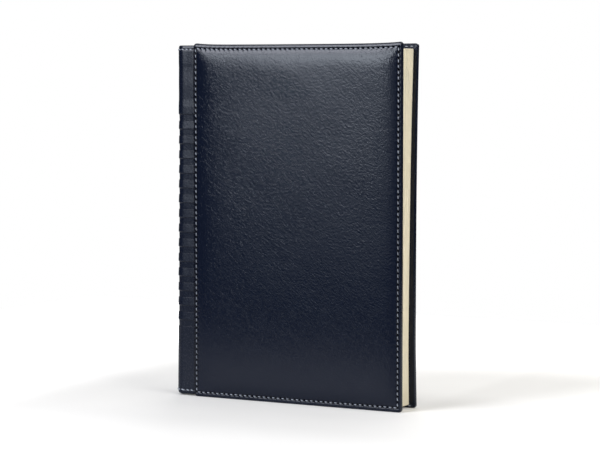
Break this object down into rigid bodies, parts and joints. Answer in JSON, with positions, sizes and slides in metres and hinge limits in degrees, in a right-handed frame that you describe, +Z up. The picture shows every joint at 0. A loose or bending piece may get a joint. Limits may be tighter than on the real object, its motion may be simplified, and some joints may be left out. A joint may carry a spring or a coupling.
{
  "type": "hardback diary",
  "caption": "Closed hardback diary with padded, stitched navy leather covers, a grooved spine strip and a sewn block of cream leaves; both covers open and the leaves fan out.",
  "frame": {"origin": "middle of the footprint of the closed diary, on the surface that it stands on", "axes": "+Z up along the spine, +X from the spine to the fore-edge, -Y out of the front cover"},
  "size_m": [0.1504, 0.0248, 0.213],
  "materials": {
    "navy_leather": "semi-gloss fine pebble grain, dark navy",
    "seam_thread": "waxed twisted thread, silver grey",
    "page_paper": "uncoated cream paper",
    "end_paper": "heavier uncoated cream endpaper",
    "grey_board": "grey bookbinding board",
    "padding": "soft foam padding",
    "kraft_paper": "kraft lining paper",
    "mull_gauze": "open weave cotton gauze",
    "book_thread": "linen sewing thread",
    "band_cotton": "woven cotton band"
  },
  "bodies": {
    "spine": {"spine_leather": "navy_leather", "spine_stiffener": "grey_board", "spine_lining": "kraft_paper", "spine_mull": "mull_gauze", "sewing_thread": "book_thread", "head_band": "band_cotton", "tail_band": "band_cotton", "spine_stitching": "seam_thread", "section_06": "page_paper"},
    "front_joint": {"front_joint_leather": "navy_leather", "front_joint_stitching": "seam_thread"},
    "front_cover": {"front_leather": "navy_leather", "front_foam_pad": "padding", "front_board": "grey_board", "front_hinge_tongue": "navy_leather", "front_pastedown": "end_paper", "front_seam_thread": "seam_thread"},
    "back_joint": {"back_joint_leather": "navy_leather", "back_joint_stitching": "seam_thread"},
    "back_cover": {"back_leather": "navy_leather", "back_foam_pad": "padding", "back_board": "grey_board", "back_hinge_tongue": "navy_leather", "back_pastedown": "end_paper", "back_seam_thread": "seam_thread"},
    "section_01": {"section_01": "page_paper"},
    "section_02": {"section_02": "page_paper"},
    "section_03": {"section_03": "page_paper"},
    "section_04": {"section_04": "page_paper"},
    "section_05": {"section_05": "page_paper"},
    "section_07": {"section_07": "page_paper"},
    "section_08": {"section_08": "page_paper"},
    "section_09": {"section_09": "page_paper"},
    "section_10": {"section_10": "page_paper"},
    "section_11": {"section_11": "page_paper"},
    "front_flyleaf": {"front_flyleaf": "end_paper"},
    "back_flyleaf": {"back_flyleaf": "end_paper"}
  },
  "joints": [
    {"name": "front_shoulder_fold", "type": "hinge", "parent": "spine", "child": "front_joint", "pos_m": [-0.072, -0.00935, 0.1065], "axis": [0, 0, -1], "range_deg": [0, 91]},
    {"name": "front_cover_hinge", "type": "hinge", "parent": "front_joint", "child": "front_cover", "pos_m": [-0.064, -0.00935, 0.1065], "axis": [0, 0, -1], "range_deg": [0, 90]},
    {"name": "section_01_fold", "type": "hinge", "parent": "spine", "child": "section_01", "pos_m": [-0.071, -0.0065, 0.1065], "axis": [0, 0, -1], "range_deg": [0, 76]},
    {"name": "section_02_fold", "type": "hinge", "parent": "spine", "child": "section_02", "pos_m": [-0.071, -0.0052, 0.1065], "axis": [0, 0, -1], "range_deg": [0, 61]},
    {"name": "section_03_fold", "type": "hinge", "parent": "spine", "child": "section_03", "pos_m": [-0.071, -0.0039, 0.1065], "axis": [0, 0, -1], "range_deg": [0, 46]},
    {"name": "section_04_fold", "type": "hinge", "parent": "spine", "child": "section_04", "pos_m": [-0.071, -0.0026, 0.1065], "axis": [0, 0, -1], "range_deg": [0, 31]},
    {"name": "section_05_fold", "type": "hinge", "parent": "spine", "child": "section_05", "pos_m": [-0.071, -0.0013, 0.1065], "axis": [0, 0, -1], "range_deg": [0, 16]},
    {"name": "front_flyleaf_fold", "type": "hinge", "parent": "section_01", "child": "front_flyleaf", "pos_m": [-0.066, -0.00727, 0.1065], "axis": [0, 0, -1], "range_deg": [0, 16]},
    {"name": "back_shoulder_fold", "type": "hinge", "parent": "spine", "child": "back_joint", "pos_m": [-0.072, 0.00935, 0.1065], "axis": [0, 0, 1], "range_deg": [0, 91]},
    {"name": "back_cover_hinge", "type": "hinge", "parent": "back_joint", "child": "back_cover", "pos_m": [-0.064, 0.00935, 0.1065], "axis": [0, 0, 1], "range_deg": [0, 90]},
    {"name": "section_11_fold", "type": "hinge", "parent": "spine", "child": "section_11", "pos_m": [-0.071, 0.0065, 0.1065], "axis": [0, 0, 1], "range_deg": [0, 76]},
    {"name": "section_10_fold", "type": "hinge", "parent": "spine", "child": "section_10", "pos_m": [-0.071, 0.0052, 0.1065], "axis": [0, 0, 1], "range_deg": [0, 61]},
    {"name": "section_09_fold", "type": "hinge", "parent": "spine", "child": "section_09", "pos_m": [-0.071, 0.0039, 0.1065], "axis": [0, 0, 1], "range_deg": [0, 46]},
    {"name": "section_08_fold", "type": "hinge", "parent": "spine", "child": "section_08", "pos_m": [-0.071, 0.0026, 0.1065], "axis": [0, 0, 1], "range_deg": [0, 31]},
    {"name": "section_07_fold", "type": "hinge", "parent": "spine", "child": "section_07", "pos_m": [-0.071, 0.0013, 0.1065], "axis": [0, 0, 1], "range_deg": [0, 16]},
    {"name": "back_flyleaf_fold", "type": "hinge", "parent": "section_11", "child": "back_flyleaf", "pos_m": [-0.066, 0.00727, 0.1065], "axis": [0, 0, 1], "range_deg": [0, 16]}
  ],
  "couplings": [
    {"joint": "front_shoulder_fold", "follows": "front_cover_hinge", "ratio": 1},
    {"joint": "section_01_fold", "follows": "front_cover_hinge", "ratio": 0.83333},
    {"joint": "section_02_fold", "follows": "front_cover_hinge", "ratio": 0.66667},
    {"joint": "section_03_fold", "follows": "front_cover_hinge", "ratio": 0.5},
    {"joint": "section_04_fold", "follows": "front_cover_hinge", "ratio": 0.33333},
    {"joint": "section_05_fold", "follows": "front_cover_hinge", "ratio": 0.16667},
    {"joint": "front_flyleaf_fold", "follows": "front_cover_hinge", "ratio": 0.16667},
    {"joint": "back_shoulder_fold", "follows": "back_cover_hinge", "ratio": 1},
    {"joint": "section_11_fold", "follows": "back_cover_hinge", "ratio": 0.83333},
    {"joint": "section_10_fold", "follows": "back_cover_hinge", "ratio": 0.66667},
    {"joint": "section_09_fold", "follows": "back_cover_hinge", "ratio": 0.5},
    {"joint": "section_08_fold", "follows": "back_cover_hinge", "ratio": 0.33333},
    {"joint": "section_07_fold", "follows": "back_cover_hinge", "ratio": 0.16667},
    {"joint": "back_flyleaf_fold", "follows": "back_cover_hinge", "ratio": 0.16667}
  ]
}
